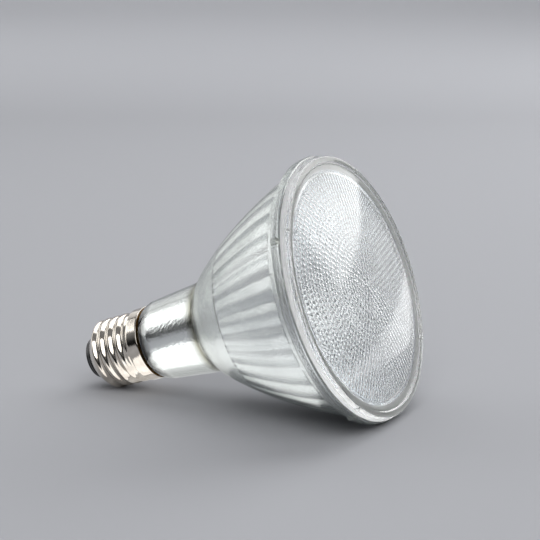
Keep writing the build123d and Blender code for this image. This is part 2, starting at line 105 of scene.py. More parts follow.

# The stipple: its rings stand this share of the pitch apart, each turned this share of a bead
# further than the one inside it.
# It fades out over BEAD_FADE at the skirt, and from CUSP_FROM to CUSP_TO below the beads' tops
# the glass is painted darker, a painted shade in the hollows between the beads.
RING_SHARE, RING_TWIST, ROWS_PER_RING = math.sqrt(3) / 2, 0.37, 5
BEAD_FADE, BEAD_SINK, CUSP_FROM, CUSP_TO = 0.6, 0.2, 0.19, 0.31

# The E27 cap.
PITCH, CREST_R, ROOT_R, SHEET = 3.629, 13.2, 12.13, 0.3
THREAD_FOOT, THREAD_TOP = 9.5, 22.9
SHELL_END, SHELL_END_R, CONE_TOP = 4.0, 8.6, 7.53
COLLAR_START, COLLAR_R = 23.8, 13.6
CONTACT_SEAT, CONTACT_SEAT_R, CONTACT_R, CONTACT_FLAT_R = 1.0, 5.3, 4.6, 2.2
WIRE_HOLE_R, LIVE_R = 1.2, 0.6


# Finding points on the lamp.
def place(station, radius, angle, middle=(0.0, 0.0)):
    """Points in the row frame, in metres, as the tip plus station times the axis plus a
    ring of that radius: cos of the angle sideways and sin of it up. middle moves the
    ring off the axis, by millimetres sideways and up."""
    station, radius, angle = np.broadcast_arrays(station, radius, angle)
    side = middle[0] + radius * np.cos(angle)
    up = middle[1] + radius * np.sin(angle)
    return TIP + MM * (
        station[..., None] * ALONG + side[..., None] * ACROSS + up[..., None] * RISE
    )


def round_the_axis(columns, start=0.0):
    """Angles of the columns of a ring, evenly spaced from start."""
    return start + np.arange(columns) * (2 * np.pi / columns)


def through(knots, values, where):
    """A smooth curve through values at knots: cubic Hermite spans whose slopes are the
    gradient of the values, so that two spans meet with one slope."""
    slopes = np.gradient(values, knots)
    span = np.clip(np.searchsorted(knots, where) - 1, 0, len(knots) - 2)
    width = knots[span + 1] - knots[span]
    t = (where - knots[span]) / width
    rise = 3 * t**2 - 2 * t**3
    leave = (t**3 - 2 * t**2 + t) * width * slopes[span]
    arrive = (t**3 - t**2) * width * slopes[span + 1]
    return values[span] * (1 - rise) + values[span + 1] * rise + leave + arrive


def quarter(centre, radius, first, last, steps=6):
    """An arc of an outline: centre plus radius times cos and sin, from one angle in
    degrees to another, as rows of radius and station."""
    turn = np.radians(np.linspace(first, last, steps))
    return np.column_stack((centre[0] + radius * np.cos(turn), centre[1] + radius * np.sin(turn)))


def joined(*parts):
    """One array of the rows or numbers in several parts, one after the other."""
    return np.concatenate(parts)


def dome(edge_r, edge_z, top, radii):
    """Stations of a sphere's cap at the given radii: the sphere passes through the top,
    on the axis, and through the edge."""
    rise = top - edge_z
    sphere = (edge_r**2 + rise**2) / (2 * rise)
    return top - sphere + np.sqrt(sphere**2 - np.asarray(radii) ** 2)


def straight(start, end, steps):
    """Evenly spaced rows of radius and station from start to end, both included."""
    return np.linspace(start, end, steps)


# Turning rings of points into a mesh.
def faces_between(low, low_first, high, high_first):
    """Faces from one ring to the next, as rows of vertex numbers. Rings with the same
    number of points give four-sided faces, a ring of one point gives triangles, and a
    ring with twice its neighbour's points gives five-sided faces."""
    k = np.arange(min(low, high) if min(low, high) > 1 else max(low, high))
    after = k + 1
    if low == 1:
        return np.column_stack((k * 0 + low_first, high_first + after % high, high_first + k))
    if high == 1:
        return np.column_stack((low_first + k, low_first + after % low, k * 0 + high_first))
    if low == high:
        return np.column_stack(
            (low_first + k, low_first + after % low, high_first + after % high, high_first + k)
        )
    if high == 2 * low:
        few = (low_first + k, low_first + after % low)
        many = (high_first + (2 * k + 2) % high, high_first + 2 * k + 1, high_first + 2 * k)
        return np.column_stack(few + many)
    many = (low_first + 2 * k, low_first + 2 * k + 1, low_first + (2 * k + 2) % low)
    few = (high_first + after % high, high_first + k)
    return np.column_stack(many + few)


def skin(rings, finish=None, closed=False):
    """Points, faces and the finish number of each face, over a list of rings of points,
    each joined to the next, and the last to the first if closed. finish gives one number
    for each gap between rings."""
    counts = [len(ring) for ring in rings]
    firsts = np.concatenate(([0], np.cumsum(counts)[:-1]))
    gaps = [(i, i + 1) for i in range(len(rings) - 1)]
    if closed:
        gaps.append((len(rings) - 1, 0))
    finish = finish or [0] * len(gaps)
    faces = [faces_between(counts[a], firsts[a], counts[b], firsts[b]) for a, b in gaps]
    numbers = [np.full(len(block), number) for block, number in zip(faces, finish)]
    return np.concatenate(rings), faces, np.concatenate(numbers)


def build(name, shells, materials, sharp=40.0):
    """One object from several shells, each as skin gives it. Its faces are turned so that
    every shell's volume, summed over its faces, is positive, so they point outwards."""
    points, corners, sizes, numbers = [], [], [], []
    first = 0
    for shell_points, blocks, shell_numbers in shells:
        centre = shell_points.mean(axis=0)
        local = shell_points - centre
        volume = 0.0
        for block in blocks:
            for k in range(1, block.shape[1] - 1):
                a, b, c = local[block[:, 0]], local[block[:, k]], local[block[:, k + 1]]
                volume += np.einsum("ij,ij->", a, np.cross(b, c))
        if volume < 0:
            blocks = [block[:, ::-1] for block in blocks]
        points.append(shell_points)
        corners += [block.ravel() + first for block in blocks]
        sizes += [np.full(len(block), block.shape[1]) for block in blocks]
        numbers.append(shell_numbers)
        first += len(shell_points)
    points, corners = np.concatenate(points), np.concatenate(corners)
    sizes, numbers = np.concatenate(sizes), np.concatenate(numbers)
    mesh = bpy.data.meshes.new(name)
    mesh.vertices.add(len(points))
    mesh.vertices.foreach_set("co", points.astype(np.float32).ravel())
    mesh.loops.add(len(corners))
    mesh.loops.foreach_set("vertex_index", corners.astype(np.int32))
    mesh.polygons.add(len(sizes))
    starts = np.concatenate(([0], np.cumsum(sizes)[:-1]))
    mesh.polygons.foreach_set("loop_start", starts.astype(np.int32))
    for material in materials:
        mesh.materials.append(material)
    mesh.polygons.foreach_set("material_index", numbers.astype(np.int32))
    mesh.update(calc_edges=True)
    if mesh.validate():
        raise RuntimeError(f"{name} has faces that Blender had to mend")
    mesh.polygons.foreach_set("use_smooth", np.ones(len(sizes), dtype=bool))
    mesh.set_sharp_from_angle(angle=math.radians(sharp))
    piece = bpy.data.objects.new(name, mesh)
    bpy.context.scene.collection.objects.link(piece)
    return piece


def turned(outline, columns, middle=(0.0, 0.0)):
    """Rings of a turned solid: each row of the outline, a radius and a station, goes
    round the axis, and a row on the axis becomes one point."""
    angles = round_the_axis(columns)
    rings = []
    for radius, station in outline:
        around = angles if radius > 1e-6 else angles[:1]
        rings.append(place(station, radius, around, middle))
    return rings


def four_buttons(button, ring, first_angle, columns):
    """Shells of four round buttons, evenly spaced on a ring round the axis. A button is
    its radius, the stations of its foot and top, and the radius of its edges."""
    radius, foot, top, edge = button
    outline = joined(
        [(0.0, foot)],
        quarter((radius - edge, foot + edge), edge, -90, 0, 4),
        quarter((radius - edge, top - edge), edge, 0, 90, 4),
        [(0.0, top)],
    )
    angles = first_angle + np.arange(4) * np.pi / 2
    middles = [(ring * math.cos(angle), ring * math.sin(angle)) for angle in angles]
    return [skin(turned(outline, columns, middle)) for middle in middles]


def fit_on(piece, node):
    """Puts a finished piece in the place of its CAD node: hides the node and hangs the piece on
    the root body.
    """
    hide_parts(node)
    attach(piece, "root")


# Making materials.
def colour(code):
    """A linear colour with alpha, from an sRGB hex code."""
    parts = [int(code[i : i + 2], 16) / 255 for i in (1, 3, 5)]
    linear = [c / 12.92 if c <= 0.04045 else ((c + 0.055) / 1.055) ** 2.4 for c in parts]
    return (*linear, 1.0)


def grain(size):
    """Scale of a noise whose grain is this many millimetres."""
    return 1000.0 / size


def add(material, kind, inputs=None, **settings):
    """Adds one node with its settings and inputs. An input that is a socket is linked,
    and anything else is set as the socket's own value."""
    tree = material.node_tree
    node = tree.nodes.new("ShaderNode" + kind)
    for key, value in settings.items():
        setattr(node, key, value)
    for key, value in (inputs or {}).items():
        if isinstance(value, bpy.types.NodeSocket):
            tree.links.new(value, node.inputs[key])
        else:
            node.inputs[key].default_value = value
    return node


def blank(name):
    """A new material with no nodes in it."""
    material = bpy.data.materials.new(name)
    material.use_nodes = True
    material.node_tree.nodes.clear()
    return material


def object_space(material):
    """Object coordinates, which are the row frame in metres."""
    return add(material, "TexCoord").outputs["Object"]


def lamp_space(material):
    """Object coordinates turned and moved to the lamp's own: X sideways, Y up and Z
    along the axis, from the contact's tip."""
    turn = mathutils.Matrix((ACROSS, RISE, ALONG)).transposed().to_euler()
    values = {"Vector": object_space(material), "Location": TIP, "Rotation": turn}
    return add(material, "Mapping", values, vector_type="TEXTURE").outputs["Vector"]


def coat_with(material, surface):
    """Ends a material: the surface shader goes to its output."""
    add(material, "OutputMaterial", {"Surface": surface})
    return material


def shades(material, amount, stops):
    """A ramp of colours over an amount: stops are pairs of a place and a hex code."""
    ramp = add(material, "ValToRGB", {"Fac": amount})
    while len(ramp.color_ramp.elements) < len(stops):
        ramp.color_ramp.elements.new(0.5)
    for element, (where, code) in zip(ramp.color_ramp.elements, stops):
        element.position = where
        element.color = colour(code)
    return ramp.outputs["Color"]


def noise(material, size, detail, where=None):
    """A noise whose grain is this many millimetres, over the object's own coordinates or
    over those in where."""
    if where is None:
        where = object_space(material)
    values = {"Vector": where, "Scale": grain(size), "Detail": detail}
    return add(material, "TexNoise", values).outputs["Fac"]


def raised(material, height, strength, distance):
    """The normals of a relief of that height, up to distance in metres at full strength."""
    values = {"Height": height, "Strength": strength, "Distance": distance}
    return add(material, "Bump", values).outputs["Normal"]


def ranged(material, amount, low, high):
    """An amount between 0 and 1, spread from low to high."""
    values = {"Value": amount, "To Min": low, "To Max": high}
    return add(material, "MapRange", values).outputs["Result"]


def eased(material, amount, start, end, low=0.0, high=1.0):
    """A value that goes smoothly from low to high while an amount goes from start to end."""
    values = {"Value": amount, "From Min": start, "From Max": end, "To Min": low, "To Max": high}
    node = add(material, "MapRange", values, interpolation_type="SMOOTHSTEP")
    return node.outputs["Result"]


def blended(material, share, first, second):
    """A colour between two others, by share."""
    values = {"Factor": share, 6: first, 7: second}
    return add(material, "Mix", values, data_type="RGBA").outputs[2]


def principled(material, values):
    """The output of a principled shader with those values."""
    return add(material, "BsdfPrincipled", values).outputs["BSDF"]


# What the clear and the rough glass share.
GLASS = {"IOR": 1.49, "Transmission Weight": 1.0}


def pressed_glass(name, tint, edge_tint, ripple, roughness, painted_cusp_shade=None):
    """Soda-lime or borosilicate glass, pressed in a mould: clear, a little green where it is seen
    edgewise, with a slow ripple that bends what is seen through it.
    Given a colour for the cusps, the hollows between the beads are painted in it as painted
    shade, by the depth in bead_depth."""
    glass = blank(name)
    slant = add(glass, "LayerWeight", {"Blend": 0.2}).outputs["Facing"]
    body = blended(glass, slant, tint, edge_tint)
    # Painted shade: the glass turns to the grey colour in the hollows between the beads.
    if painted_cusp_shade:
        depth = add(glass, "Attribute", attribute_name="bead_depth").outputs["Fac"]
        in_cusp = eased(glass, depth, CUSP_FROM, CUSP_TO)
        body = blended(glass, in_cusp, body, painted_cusp_shade)
    bend = raised(glass, noise(glass, size=12.0, detail=0.0), 1.0, ripple)
    values = {"Base Color": body, "Roughness": roughness, "Normal": bend, **GLASS}
    return coat_with(glass, principled(glass, values))


def moulded_rim(name, tint):
    """The same glass where it met the rough part of the mould: it lets light through
    and blurs it, so the side of the lens looks like a plain grey band."""
    rim = blank(name)
    tooth = raised(rim, noise(rim, 0.4, 2.0), 0.4, 0.00001)
    values = {"Base Color": tint, "Roughness": 0.38, "Normal": tooth, **GLASS}
    return coat_with(rim, principled(rim, values))


def aluminised(coat, silver, roughness, pebble, height):
    """Aluminium, evaporated in a vacuum on the inside of the glass: a bright mirror over
    the mould's pebbles, which are that many millimetres across and height metres high."""
    pebbles = noise(coat, pebble, 2.0)
    values = {
        "Base Color": silver,
        "Metallic": 1.0,
        "Roughness": ranged(coat, pebbles, roughness * 0.85, roughness * 1.15),
        "Normal": raised(coat, pebbles, 1.0, height),
    }
    return principled(coat, values)


def cone_coat(name, silver):
    """The mirror in the cone, finely pebbled, so that each flute shines as a soft streak."""
    coat = blank(name)
    mirror = aluminised(coat, silver, roughness=0.16, pebble=0.5, height=0.00012)
    return coat_with(coat, mirror)


def neck_coat(name, silver, edge):
    """The mirror in the neck, ended by a ragged edge short of the cap, with a band of painted
    olive shade where it meets the cone.
    Past the edge the glass is painted black with brown flecks: painted shade for the dark inside
    seen through the bare glass, with the brown cement behind and its painted glints."""
    coat = blank(name)
    station = add(coat, "SeparateXYZ", {"Vector": lamp_space(coat)}).outputs["Z"]
    # Painted shade: over this band of stations the silver turns dark olive.
    in_corner_shade = shades(
        coat,
        station,
        [
            (CORNER_SHADE_FROM * MM, "#000000"),
            ((CORNER_SHADE_FROM + CORNER_SHADE_BLEND) * MM, "#FFFFFF"),
            ((CORNER_SHADE_TO - CORNER_SHADE_BLEND) * MM, "#FFFFFF"),
            (CORNER_SHADE_TO * MM, "#000000"),
        ],
    )
    silvering = blended(coat, in_corner_shade, silver, colour(PAINTED_CORNER_SHADE))
    mirror = aluminised(coat, silvering, roughness=0.17, pebble=0.9, height=0.00006)
    # Painted shade: black for the dark inside seen through the bare glass past the silver's edge,
    # and brown flecks for the cement behind with painted glints.
    cement_flecks_and_glints = shades(coat, noise(coat, 6.0, 2.0), [(0.55, "#06070A"), (0.68, "#2E2914")])
    values = {"Base Color": cement_flecks_and_glints, "Roughness": 0.3, "Specular IOR Level": 0.0}
    painted_dark_inside = principled(coat, values)
    values = {0: noise(coat, 2.2, 4.0), 1: EDGE_WANDER * MM, 2: station}
    wander = add(coat, "Math", values, operation="MULTIPLY_ADD")
    stops = [(edge, "#000000"), (edge + EDGE_BLEND * MM, "#FFFFFF")]
    covered = shades(coat, wander.outputs["Value"], stops)
    surface = add(coat, "MixShader", {"Fac": covered, 1: painted_dark_inside, 2: mirror})
    return coat_with(coat, surface.outputs["Shader"])


def nickel_plate(name, code):
    """Nickel plate on rolled brass sheet: a warm grey mirror with fine lines round the
    cap from the rolls, and a faint uneven tarnish."""
    nickel = blank(name)
    stretch = add(nickel, "Mapping", {"Vector": lamp_space(nickel), "Scale": (1, 1, 14)})
    lines = noise(nickel, 3.0, 3.0, stretch.outputs["Vector"])
    tarnish = noise(nickel, 4.0, 3.0)
    values = {
        "Base Color": shades(nickel, tarnish, [(0.3, code), (0.75, "#C9C0B4")]),
        "Metallic": 1.0,
        "Roughness": ranged(nickel, tarnish, 0.05, 0.14),
        "Normal": raised(nickel, lines, 0.6, 0.00003),
    }
    return coat_with(nickel, principled(nickel, values))


def speckled(name, first, second, size, roughness, metallic=0.0, full_at=0.8):
    """A solid material with a fine grain: the grain shades its colour from the first to
    the second, and stands up by about two hundredths of a millimetre."""
    material = blank(name)
    specks = noise(material, size, 4.0)
    values = {
        "Base Color": shades(material, specks, [(0.3, first), (full_at, second)]),
        "Metallic": metallic,
        "Roughness": ranged(material, specks, roughness * 0.8, min(1.0, roughness * 1.25)),
        "Normal": raised(material, specks, 0.7, 0.00002),
    }
    return coat_with(material, principled(material, values))


def studio_paper(name, code):
    """Seamless background paper: matt, with a faint tooth that the light catches."""
    paper = blank(name)
    values = {
        "Base Color": code,
        "Roughness": 0.9,
        "Specular IOR Level": 0.2,
        "Normal": raised(paper, noise(paper, 1.5, 3.0), 0.2, 0.00004),
    }
    return coat_with(paper, principled(paper, values))


# What the properties of one kind share.
COLOUR_SOCKET = {"size": 4, "min": 0.0, "max": 1.0, "subtype": "COLOR"}
LENGTH_SOCKET = {"precision": 5, "subtype": "DISTANCE", "unit": "LENGTH"}


class ReflectorLampGlass(bpy.types.PropertyGroup):
    """Sizes and colours of the glass and the silvering."""

    flute_depth: bpy.props.FloatProperty(
        name="Flute Depth",
        description="Depth of a flute in the cone, as a share of its distance from the axis",
        default=0.0125,
        min=0.0,
        max=0.03,
        subtype="FACTOR",
    )
    bead_pitch: bpy.props.FloatProperty(
        name="Bead Pitch",
        description="Distance between two of the small round lenses in the front glass",
        default=0.0019,
        min=0.0015,
        max=0.004,
        **LENGTH_SOCKET,
    )
    bead_radius: bpy.props.FloatProperty(
        name="Bead Radius",
        description="Radius of the ball that each small lens is a cap of",
        default=0.0018,
        min=0.001,
        max=0.004,
        **LENGTH_SOCKET,
    )
    coat_edge: bpy.props.FloatProperty(
        name="Silver Edge",
        description="Station in the neck, from the contact's tip, where the silvering ends",
        default=0.0345,
        **LENGTH_SOCKET,
    )
    glass_tint: bpy.props.FloatVectorProperty(
        name="Glass",
        description="Colour that the body's glass gives to light that passes it",
        default=colour("#FAFCFA"),
        **COLOUR_SOCKET,
    )
    edge_tint: bpy.props.FloatVectorProperty(
        name="Glass Edgewise",
        description="Colour of the body's glass where it is seen along its surface",
        default=colour("#C4CDB2"),
        **COLOUR_SOCKET,
    )
    lens_tint: bpy.props.FloatVectorProperty(
        name="Lens Glass",
        description="Colour that the lens glass gives to light that passes it",
        default=colour("#FEFFFE"),
        **COLOUR_SOCKET,
    )
    cone_silver: bpy.props.FloatVectorProperty(
        name="Cone Silvering",
        description="Colour of the evaporated aluminium in the cone",
        default=colour("#F0F2F4"),
        **COLOUR_SOCKET,
    )
    silver: bpy.props.FloatVectorProperty(
        name="Silvering",
        description="Colour of the evaporated aluminium in the neck",
        default=colour("#F5F6F7"),
        **COLOUR_SOCKET,
    )


class ReflectorLampStage(bpy.types.PropertyGroup):
    """Colours and light of the studio."""

    paper: bpy.props.FloatVectorProperty(
        name="Paper",
        description="Colour of the floor and of the backdrop behind it",
        default=colour("#A1A2A6"),
        **COLOUR_SOCKET,
    )
    softbox_level: bpy.props.FloatProperty(
        name="Softbox Level",
        description="Brightness of the softboxes, where 1 shows a white sheet as white",
        default=2.45,
        min=0.0,
        max=20.0,
    )
    card_level: bpy.props.FloatProperty(
        name="Card Level",
        description="Brightness of the flat cards near the floor that light the underside",
        default=1.2,
        min=0.0,
        max=20.0,
    )
    room_level: bpy.props.FloatProperty(
        name="Room Level",
        description="Brightness of the pale room round the studio",
        default=0.25,
        min=0.0,
        max=1.0,
    )


def body_outline():
    """The body's outside and inside as rows of radius and station, the number of the
    finish that each row starts, and which of the rows are fluted."""
    # Each curve has a knot beyond its end, so that it leaves with the slope of the neck.
    beyond = 4
    neck_slope = (NECK_TOP_R - NECK_R) / (CONE_START - NECK_START)
    knots = joined([CONE_START - beyond, CONE_START], CONE_STATIONS)
    neck_radii = np.array([NECK_TOP_R - beyond * neck_slope, NECK_TOP_R])
    cone = np.linspace(CONE_START, CONE_END, 60)
    outside = through(knots, joined(neck_radii, CONE_RADII), cone)
    shoulder = np.linspace(STUB_TOP, NECK_START, 12)
    shoulder_knots = np.array([STUB_TOP, SHOULDER, NECK_START, NECK_START + beyond])
    shoulder_radii = np.array([STUB_R, SHOULDER_R, NECK_R, NECK_R + beyond * neck_slope])
    flange_r = FLANGE_R - EDGE_ROUND
    mouth = straight((MOUTH_R, SEAM), (MOUTH_R, CONE_END), 6)
    outer = joined(
        straight((STUB_BORE_R, STUB_END), (STUB_R, STUB_END), 2),
        np.column_stack((through(shoulder_knots, shoulder_radii, shoulder), shoulder)),
        straight((NECK_R, NECK_START), (NECK_TOP_R, CONE_START), 12)[1:],
        np.column_stack((outside, cone))[1:],
        straight((CONE_END_R, CONE_END), (flange_r, FLANGE_BACK), 5)[1:],
        quarter((flange_r, FLANGE_BACK + EDGE_ROUND), EDGE_ROUND, -90, 0)[1:],
        quarter((flange_r, SEAM - EDGE_ROUND), EDGE_ROUND, 0, 90),
        straight((flange_r, SEAM), (MOUTH_R, SEAM), 4)[1:],
        mouth[1:],
    )
    step = 0.25
    down = joined(
        np.linspace(CONE_END, FLUTE_END + step, 5)[1:],
        np.linspace(FLUTE_END, FLUTE_START, 50),
        np.linspace(FLUTE_START - step, LAND_TOP + 0.1, 24),
        [LAND_TOP, LAND_TOP - LAND_STEP, CONE_START],
    )
    bore_top_r, bore_r = NECK_TOP_R - NECK_WALL, NECK_R - NECK_WALL
    inner_radii = joined(neck_radii - NECK_WALL, CONE_RADII - CONE_WALL)
    land_r = bore_top_r + LAND_SLOPE * (down - CONE_START)
    down_r = np.where(down <= LAND_TOP, land_r, through(knots, inner_radii, down))
    throat = np.linspace(NECK_START, STUB_TOP, 12)
    throat_knots = np.array([BORE_LOW, STUB_TOP, NECK_START, NECK_START + beyond])
    throat_radii = np.array([STUB_BORE_R, STUB_BORE_R, bore_r, bore_r + beyond * neck_slope])
    inner = joined(
        np.column_stack((down_r, down)),
        straight((bore_top_r, CONE_START), (bore_r, NECK_START), 12)[1:],
        np.column_stack((through(throat_knots, throat_radii, throat), throat))[1:],
    )
    outline = joined(outer, inner)
    station = outline[:, 1]
    rows = np.arange(len(outline))
    # The silvering starts at the mouth's edge and goes down all of the inside.
    coated = rows >= len(outer) - len(mouth)
    polished = ~coated & (station > STUB_END + 0.1) & (station < CONE_START + 0.6)
    numbers = np.full(len(outline), FROSTED)
    numbers[polished] = POLISHED
    numbers[coated] = CONE_MIRROR
    numbers[coated & (station <= MIRROR_END)] = NECK_MIRROR
    slack = 0.01
    fluted = (rows >= len(outer)) & (station <= FLUTE_END + slack)
    fluted &= station >= FLUTE_START - slack
    return outline, numbers, fluted


class REFLECTORLAMP_OT_body(bpy.types.Operator):
    """Presses the glass body, with its flutes and its silvering"""

    bl_idname = "reflector_lamp.body"
    bl_label = "Glass Body"

    def execute(self, context):
        glass = context.scene.reflector_lamp_glass
        outline, numbers, fluted = body_outline()
        per_flute = 12
        angles = round_the_axis(FLUTES * per_flute, FLUTE_ANGLE)
        # Across a flute the depth is half a parabola's arch and half a cosine's swell.
        share = ((angles - FLUTE_ANGLE) * FLUTES / (2 * np.pi)) % 1.0
        arch = 1.0 - (2.0 * share - 1.0) ** 2
        swell = 0.5 - 0.5 * np.cos(2 * np.pi * share)
        scallop = 0.5 * arch + 0.5 * swell
        radius = outline[:, :1] * (1.0 + glass.flute_depth * fluted[:, None] * scallop)
        points = place(outline[:, 1:], radius, angles)
        shells = [skin(list(points), list(numbers), closed=True)]
        lug = (LUG_R, LUG_FOOT, LUG_TOP, LUG_ROUND)
        shells += four_buttons(lug, LUG_RING, LUG_ANGLE, columns=28)
        tint, edge_tint = glass.glass_tint, glass.edge_tint
        materials = [
            pressed_glass("BodyGlass", tint, edge_tint, ripple=0.00006, roughness=0.22),
            neck_coat("NeckMirror", glass.silver, glass.coat_edge),
            cone_coat("ConeSilver", glass.cone_silver),
            pressed_glass("NeckGlass", tint, edge_tint, ripple=0.00006, roughness=0.03),
        ]
        piece = build("glass_body", shells, materials, sharp=24.0)
        fit_on(piece, "reflector_glass")
        return {"FINISHED"}


def bead_height(radius, angle, pitch, ball):
    """Height of the stipple at a place on the lens. The beads stand in rings, and each
    is a cap of a ball: the root of the ball's radius squared less the distance from the
    bead's middle squared. Of the nearest three rings, the highest cap counts."""
    ring_step = pitch * RING_SHARE
    nearest = np.rint(radius / ring_step)
    height = np.full(np.broadcast(radius, angle).shape, -np.inf)
    for ring in (nearest - 1, nearest, nearest + 1):
        ring = np.maximum(ring, 0)
        beads = np.maximum(np.rint(2 * np.pi * ring * ring_step / pitch), 1)
        turn = angle / (2 * np.pi) * beads + 0.5 * (ring % 2) + RING_TWIST * ring
        off_side = (turn - np.rint(turn)) / beads * 2 * np.pi * radius
        off_side = np.where(ring == 0, 0.0, off_side)
        off_ring = radius - ring * ring_step
        cap = np.sqrt(np.maximum(ball**2 - off_side**2 - off_ring**2, 0.0))
        height = np.maximum(height, cap)
    return height - ball


def lens_outline():
    """The outside of the lens as rows of radius and station, in four parts: the domed
    crown, the flat annulus round it, the side with the back, and the skirt."""
    # The crown ends a little below the annulus, which has a small step there.
    crown_r, crown_edge = np.linspace(0, FACE_R, 34), RIM_FRONT - 0.7
    crown_z = dome(FACE_R, crown_edge, RIM_FRONT + LENS_DOME, crown_r)
    crown = np.column_stack((crown_r, crown_z))
    round_r, round_z = LENS_R - LENS_ROUND, RIM_FRONT - LENS_ROUND
    annulus = joined(
        [(FACE_R + 0.25, RIM_FRONT - 0.6), (FACE_R + 0.7, RIM_FRONT)],
        straight((FACE_R + 1.1, RIM_FRONT), (round_r, RIM_FRONT), 3),
        quarter((round_r, round_z), LENS_ROUND, 90, 0)[1:],
    )
    shoulder_r, side_foot = MOUTH_R - 0.4, LENS_BACK + SIDE_SPREAD
    side = joined(
        straight((LENS_R, round_z), (LENS_R + SIDE_SPREAD, side_foot), 4)[1:],
        quarter((LENS_R, side_foot), SIDE_SPREAD, 0, -90)[1:],
        straight((LENS_R, LENS_BACK), (shoulder_r, LENS_BACK), 4)[1:],
    )
    skirt_foot = LENS_BACK - SKIRT_DEEP
    skirt = joined(
        straight((shoulder_r, LENS_BACK), (shoulder_r, skirt_foot), 3)[1:],
        straight((shoulder_r, skirt_foot), (SKIRT_R, skirt_foot), 2)[1:],
        straight((SKIRT_R, skirt_foot), (SKIRT_R, LENS_BACK - 0.2), 3)[1:],
    )
    return crown, annulus, side, skirt


class REFLECTORLAMP_OT_lens(bpy.types.Operator):
    """Presses the front lens: a smooth dome outside, small round lenses inside"""

    bl_idname = "reflector_lamp.lens"
    bl_label = "Stippled Lens"

    def execute(self, context):
        glass = context.scene.reflector_lamp_glass
        pitch, ball = glass.bead_pitch / MM, glass.bead_radius / MM
        crown, annulus, side, skirt = lens_outline()
        # The crown's middle and the middle zones of the stipple have fewer columns.
        sparse = 12
        rings = turned(crown[:sparse], 180)
        rings += turned(joined(crown[sparse:], annulus, side, skirt), 360)
        half, quarter_r = SKIRT_R / 2, SKIRT_R / 4
        zones = [(720, half, SKIRT_R), (360, quarter_r, half), (180, 0, quarter_r)]
        top = RIM_FRONT + LENS_DOME - LENS_WALL
        step = pitch * RING_SHARE / ROWS_PER_RING
        radii = np.arange(int(SKIRT_R / step) * step - step, step / 2, -step)
        depths = [np.zeros(sum(len(ring) for ring in rings))]
        for columns, inner, outer in zones:
            rows = radii[(radii > inner) & (radii <= outer)][:, None]
            angles = round_the_axis(columns)
            under = dome(SKIRT_R, LENS_BACK, top, rows)
            fade = np.clip((SKIRT_R - rows) / BEAD_FADE, 0.0, 1.0)
            relief = bead_height(rows, angles, pitch, ball)
            rings += list(place(under - fade * (relief + BEAD_SINK), rows, angles))
            depths.append((-fade * relief).ravel())
        pole = top - bead_height(0.0, 0.0, pitch, ball) - BEAD_SINK
        rings.append(place(pole, 0.0, np.zeros(1)))
        numbers = np.full(len(rings) - 1, CLEAR)
        numbers[: len(crown)] = CROWN
        first_side = len(crown) + len(annulus)
        numbers[first_side : first_side + len(side)] = ROUGH_SIDE
        shells = [skin(rings, list(numbers))]
        mark = (MARK_R, MARK_FOOT, MARK_TOP, MARK_ROUND)
        shells += four_buttons(mark, MARK_RING, MARK_ANGLE, columns=20)
        tint, ripple = glass.lens_tint, 0.00002
        materials = [
            # The grey is painted shade in the hollows between the lens's beads.
            pressed_glass("LensGlass", tint, tint, ripple, 0.0, painted_cusp_shade=colour("#585B5F")),
            moulded_rim("LensRim", colour("#FFFFFF")),
            pressed_glass("LensCrown", tint, tint, ripple, roughness=0.1),
        ]
        piece = build("stippled_lens", shells, materials, sharp=50.0)
        # How far each point lies below the beads' tops, in mm, which sets the painted shade in
        # the cusps.
        depths = np.concatenate(depths)
        depths = np.pad(depths, (0, len(piece.data.vertices) - len(depths)))
        bead_depth = piece.data.attributes.new("bead_depth", "FLOAT", "POINT")
        bead_depth.data.foreach_set("value", depths.astype(np.float32))
        fit_on(piece, "lens_glass")
        return {"FINISHED"}


def smoothly_larger(first, second, blend):
    """The larger of two lengths, with the corner where they cross rounded off."""
    return 0.5 * (first + second + np.sqrt((first - second) ** 2 + blend**2))


def thread_radius(station, angle):
    """Radius of the rolled thread, without its ends. It is made of equal arcs, one
    standing up for the crest and one hanging down for the valley, that meet halfway
    down, and it winds on by one pitch a turn, right-handed."""
    foot = THREAD_FOOT - 0.75 * PITCH
    along = (station - foot) / PITCH - angle / (2 * np.pi)
    off = np.abs(along - np.rint(along)) * PITCH
    deep = CREST_R - ROOT_R
    arc = (PITCH**2 / 4 + deep**2) / (4 * deep)
    crest = CREST_R - arc + np.sqrt(np.maximum(arc**2 - off**2, 0))
    valley = ROOT_R + arc - np.sqrt(np.maximum(arc**2 - (PITCH / 2 - off) ** 2, 0))
    return np.where(off < PITCH / 4, crest, valley)


def shell_radius(station, angle):
    """Outside radius of the cap shell: the turned core of end cone, straight part and
    collar, or the thread where that is larger, cut down near its two ends so that it
    fades in and out."""
    core_rows = [
        (SHELL_END, SHELL_END_R),
        (CONE_TOP, ROOT_R),
        (THREAD_TOP, ROOT_R),
        (THREAD_TOP + 0.35, ROOT_R + 0.25),
        (COLLAR_START - 0.1, COLLAR_R - 0.2),
        (COLLAR_START + 0.3, COLLAR_R),
        (COLLAR_EDGE, COLLAR_R),
    ]
    reach_rows = [
        (SHELL_END, SHELL_END_R),
        (SHELL_END + 1, SHELL_END_R + 1.2),
        (CONE_TOP + 1.1, CREST_R + 0.3),
        (THREAD_TOP - 2.8, CREST_R + 0.3),
        (THREAD_TOP + 0.4, ROOT_R - 0.3),
        (THREAD_TOP + 2, ROOT_R - 2),
    ]
    core = np.interp(station, *np.transpose(core_rows))
    reach = np.interp(station, *np.transpose(reach_rows))
    thread = -smoothly_larger(-thread_radius(station, angle), -reach, 0.25)
    grown = smoothly_larger(core, thread, 0.12) - 0.02
    straight_part = station < THREAD_TOP + 0.6
    return np.where(straight_part, np.minimum(grown, CREST_R), core)


